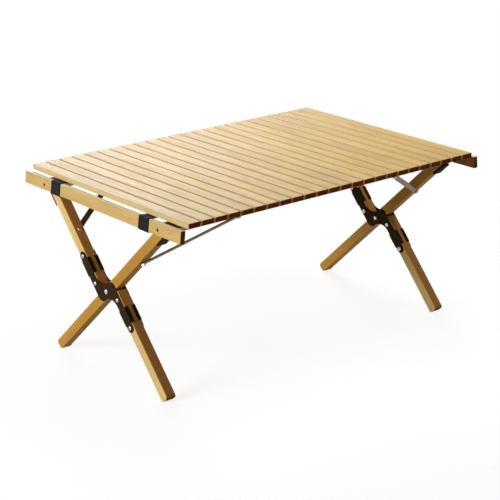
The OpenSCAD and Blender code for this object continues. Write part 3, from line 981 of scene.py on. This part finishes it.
near_paths = [end_run("near", 1, SLATS[0], y) for y in strips]
far_paths = [list(reversed(end_run("far", -1, SLATS[-1], y))) for y in strips]
blended_run("webbing_near_end", near_paths)
for first, second in zip(SLATS, SLATS[1:]):
    gap_paths = [gap_run(first, second, y) for y in strips]
    blended_run("webbing_after_" + first, gap_paths)
blended_run("webbing_far_end", far_paths)

# Two screws hold each strap to each slat from below
SCREW_D = 6.5 * MM
SCREW_H = 1.5 * MM
SCREW_SPREAD = 7 * MM
heads_down = Matrix.Rotation(math.radians(-90), 4, "Y")
for name in SLATS:
    bm = bmesh.new()
    for y in strips:
        for way in (-1, 1):
            place = Matrix.Translation((middle(name).x, y + way * SCREW_SPREAD, run_z - WEB_T / 2))
            screw_head(bm, place @ heads_down, SCREW_D, SCREW_H)
    dress(to_object(bm, name + "_screws", [nickel]), name, "bright_steel")


# The folded tabs on the legs

# Seams and screws are measured down from a tab's upper end
PLY = TAB_T / 2
PLY_CLEAR = 0.1 * MM
TAB_SINK = 0.05 * MM
TAB_STEPS = 6
TAB_FOLD_STEPS = 8
TAB_SEAMS = (4 * MM, 8 * MM, 30 * MM)
TAB_STITCHES = 7
TAB_SCREW = 19 * MM
ALONG_X = (1, 0, 0)


def tab_path(leg, x, y_face, outward, upper):
    """A strap folded double at its lower end, on a leg's outer side."""
    lower = upper - TAB_L + PLY / 2
    inner = y_face + outward * PLY / 2
    fold = y_face + outward * PLY
    outer = y_face + outward * 1.5 * PLY
    points = [(inner, upper - (upper - lower) * i / TAB_STEPS) for i in range(TAB_STEPS + 1)]
    for i in range(1, TAB_FOLD_STEPS):
        angle = math.radians(180 * i / TAB_FOLD_STEPS)
        points.append((fold - outward * PLY / 2 * math.cos(angle), lower - PLY / 2 * math.sin(angle)))
    points += [(outer, lower + (upper - lower) * i / TAB_STEPS) for i in range(TAB_STEPS + 1)]
    return [leg @ Vector((x, y, z)) for y, z in points]


# Each tab's node, body, leg, the face it lies on, the way outwards, and its upper end along the leg
tabs = (
    ("right_leg_tabs", "frame_right", THROUGH_FRAME, -LEG_W / 2, -1, right_bearer - TAB_DROP),
    ("left_leg_tabs", "frame_left", SPLIT_FRAME, SPLIT_Y + LEG_W / 2, 1, left_bearer - TAB_DROP),
)
tab_seam_half = TAB_W / 2 - SEAM_MARGIN
for node, body, leg, y_face, outward, upper in tabs:
    face_y = y_face + outward * (TAB_T - TAB_SINK)
    out = leg.to_3x3() @ Vector((0, outward, 0))
    quarter = Matrix.Rotation(math.radians(-90 * outward), 4, "Z")
    woven, sewn, fixed = bmesh.new(), bmesh.new(), bmesh.new()
    for x in (leg_x, -leg_x):
        strap(woven, tab_path(leg, x, y_face, outward, upper), ALONG_X, TAB_W, PLY - PLY_CLEAR)
        for drop in TAB_SEAMS:
            start = leg @ Vector((x - tab_seam_half, face_y, upper - drop))
            stop = leg @ Vector((x + tab_seam_half, face_y, upper - drop))
            stitches(sewn, start, stop, out, TAB_STITCHES)
        place = leg @ Matrix.Translation((x, face_y, upper - TAB_SCREW))
        screw_head(fixed, place @ quarter, SCREW_D, SCREW_H)
    dress(to_object(woven, node + "_folded", [black_web], SOFT_ANGLE), body, "webbing", node)
    dress(to_object(sewn, node + "_stitched", [black_thread], SOFT_ANGLE), body, "webbing")
    dress(to_object(fixed, node + "_screws", [black_steel]), body, "black_steel")


# The stage

WHITE = (1.0, 1.0, 1.0, 1.0)
WORLD_TINT = (1.0, 0.92, 0.82, 1.0)
WORLD_LIGHT = 0.058
FLOOR_HALF = 14.0
FLOOR_CORNERS = ((-1, -1), (1, -1), (1, 1), (-1, 1))
# Distances from the floor's middle between which its film fades out, and the floor's shades
FILM_NEAR = 0.9
FILM_FAR = 1.9
FILM_MATT = (0.24, 0.24, 0.24, 1.0)
FILM_DIM = (0.84, 0.84, 0.84, 1.0)
GROUND = (0.55, 0.55, 0.55, 1.0)

# Each lamp's name, place, target, width and height, and watts
LAMPS = (
    ("top_softbox", (0.58, -0.08, 1.5), (0.58, -0.07, 0.44), (0.9, 0.9), 9.8),
    ("end_softbox", (-6.5, 1.2, 2.6), (0.0, 0.0, 0.3), (3.6, 2.6), 424.0),
    ("sheen_panel", (3.66, 8.22, 3.5), (0.0, 0.0, 0.44), (4.4, 1.8), 400.0),
    ("narrow_panel", (5.9, 6.79, 3.3), (0.0, 0.0, 0.44), (1.3, 1.8), 38.0),
)


def area_light(name, place, target, size, watts):
    """A rectangular lamp that faces its target."""
    lamp = bpy.data.lights.new(name, "AREA")
    lamp.shape = "RECTANGLE"
    lamp.size, lamp.size_y = size
    lamp.energy = watts
    holder = bpy.data.objects.new(name, lamp)
    holder.location = place
    holder.rotation_euler = (Vector(target) - Vector(place)).to_track_quat("-Z", "Y").to_euler()
    bpy.context.scene.collection.objects.link(holder)


def white_to_camera(tree, seen, lit):
    """Mixes what the camera and reflections see with what lights the object."""
    path = tree.nodes.new("ShaderNodeLightPath")
    rays = path.outputs["Is Camera Ray"]
    for kind in ("Is Glossy Ray", "Is Transmission Ray"):
        either = tree.nodes.new("ShaderNodeMath")
        either.operation = "MAXIMUM"
        tree.links.new(rays, either.inputs[0])
        tree.links.new(path.outputs[kind], either.inputs[1])
        rays = either.outputs[0]
    blend = tree.nodes.new("ShaderNodeMixShader")
    tree.links.new(rays, blend.inputs[0])
    tree.links.new(lit, blend.inputs[1])
    tree.links.new(seen, blend.inputs[2])
    return blend.outputs[0]


scene = bpy.context.scene
scene.view_settings.view_transform = "Standard"

world = bpy.data.worlds.new("studio")
scene.world = world
world.use_nodes = True
sky = world.node_tree
sky.nodes.clear()
seen = sky.nodes.new("ShaderNodeBackground")
seen.inputs[0].default_value = WHITE
lit = sky.nodes.new("ShaderNodeBackground")
lit.inputs[0].default_value = WORLD_TINT
lit.inputs[1].default_value = WORLD_LIGHT
sky_out = sky.nodes.new("ShaderNodeOutputWorld")
sky.links.new(white_to_camera(sky, seen.outputs[0], lit.outputs[0]), sky_out.inputs[0])

# A faint matt film on a clear floor takes the shadow, and legs folded below the floor still show
floor_mesh = bpy.data.meshes.new("floor")
corners = [(x * FLOOR_HALF, y * FLOOR_HALF, 0) for x, y in FLOOR_CORNERS]
floor_mesh.from_pydata(corners, [], [(0, 1, 2, 3)])
floor = bpy.data.objects.new("floor", floor_mesh)
scene.collection.objects.link(floor)
film = Shader("floor_film")
shaded = film.fade(film.vector("LENGTH", film.place()), FILM_NEAR, FILM_FAR, 1.0, 0.0)
faint = film.add("BsdfDiffuse", {"Color": FILM_MATT})
dimmed = film.add("BsdfTransparent", {"Color": FILM_DIM})
clear = film.add("BsdfTransparent", {"Color": WHITE})
lifted = film.add("AddShader", {0: faint.outputs[0], 1: dimmed.outputs[0]})
sheet = film.add("MixShader", {0: shaded, 1: clear.outputs[0], 2: lifted.outputs[0]})
matt = film.add("BsdfDiffuse", {"Color": GROUND})
shadow_ray = film.add("LightPath").outputs["Is Shadow Ray"]
ground = film.add("MixShader", {0: shadow_ray, 1: matt.outputs[0], 2: clear.outputs[0]})
film.put(film.out.inputs["Surface"], white_to_camera(film.tree, sheet.outputs[0], ground.outputs[0]))
floor_mesh.materials.append(film.material)

for lamp in LAMPS:
    area_light(*lamp)

# The camera, at the photo's angle
AZIMUTH = math.radians(-39.99)
ELEVATION = math.radians(19.03)
CAMERA_AT = (-2.3463, -2.7781, 1.4597)
FOCAL_PX = 1571.0
IMAGE_PX = 500
SENSOR = 36.0
FAR_CLIP = 100.0
lens = bpy.data.cameras.new("camera")
lens.sensor_width = SENSOR
lens.lens = FOCAL_PX * SENSOR / IMAGE_PX
lens.clip_end = FAR_CLIP
camera = bpy.data.objects.new("camera", lens)
level = math.cos(ELEVATION)
back = Vector((math.sin(AZIMUTH) * level, -math.cos(AZIMUTH) * level, math.sin(ELEVATION)))
right = Vector((math.cos(AZIMUTH), math.sin(AZIMUTH), 0.0))
up = back.cross(right)
turn_to_view = Matrix((right, up, back)).transposed().to_4x4()
camera.matrix_world = Matrix.Translation(CAMERA_AT) @ turn_to_view
scene.collection.objects.link(camera)
scene.camera = camera
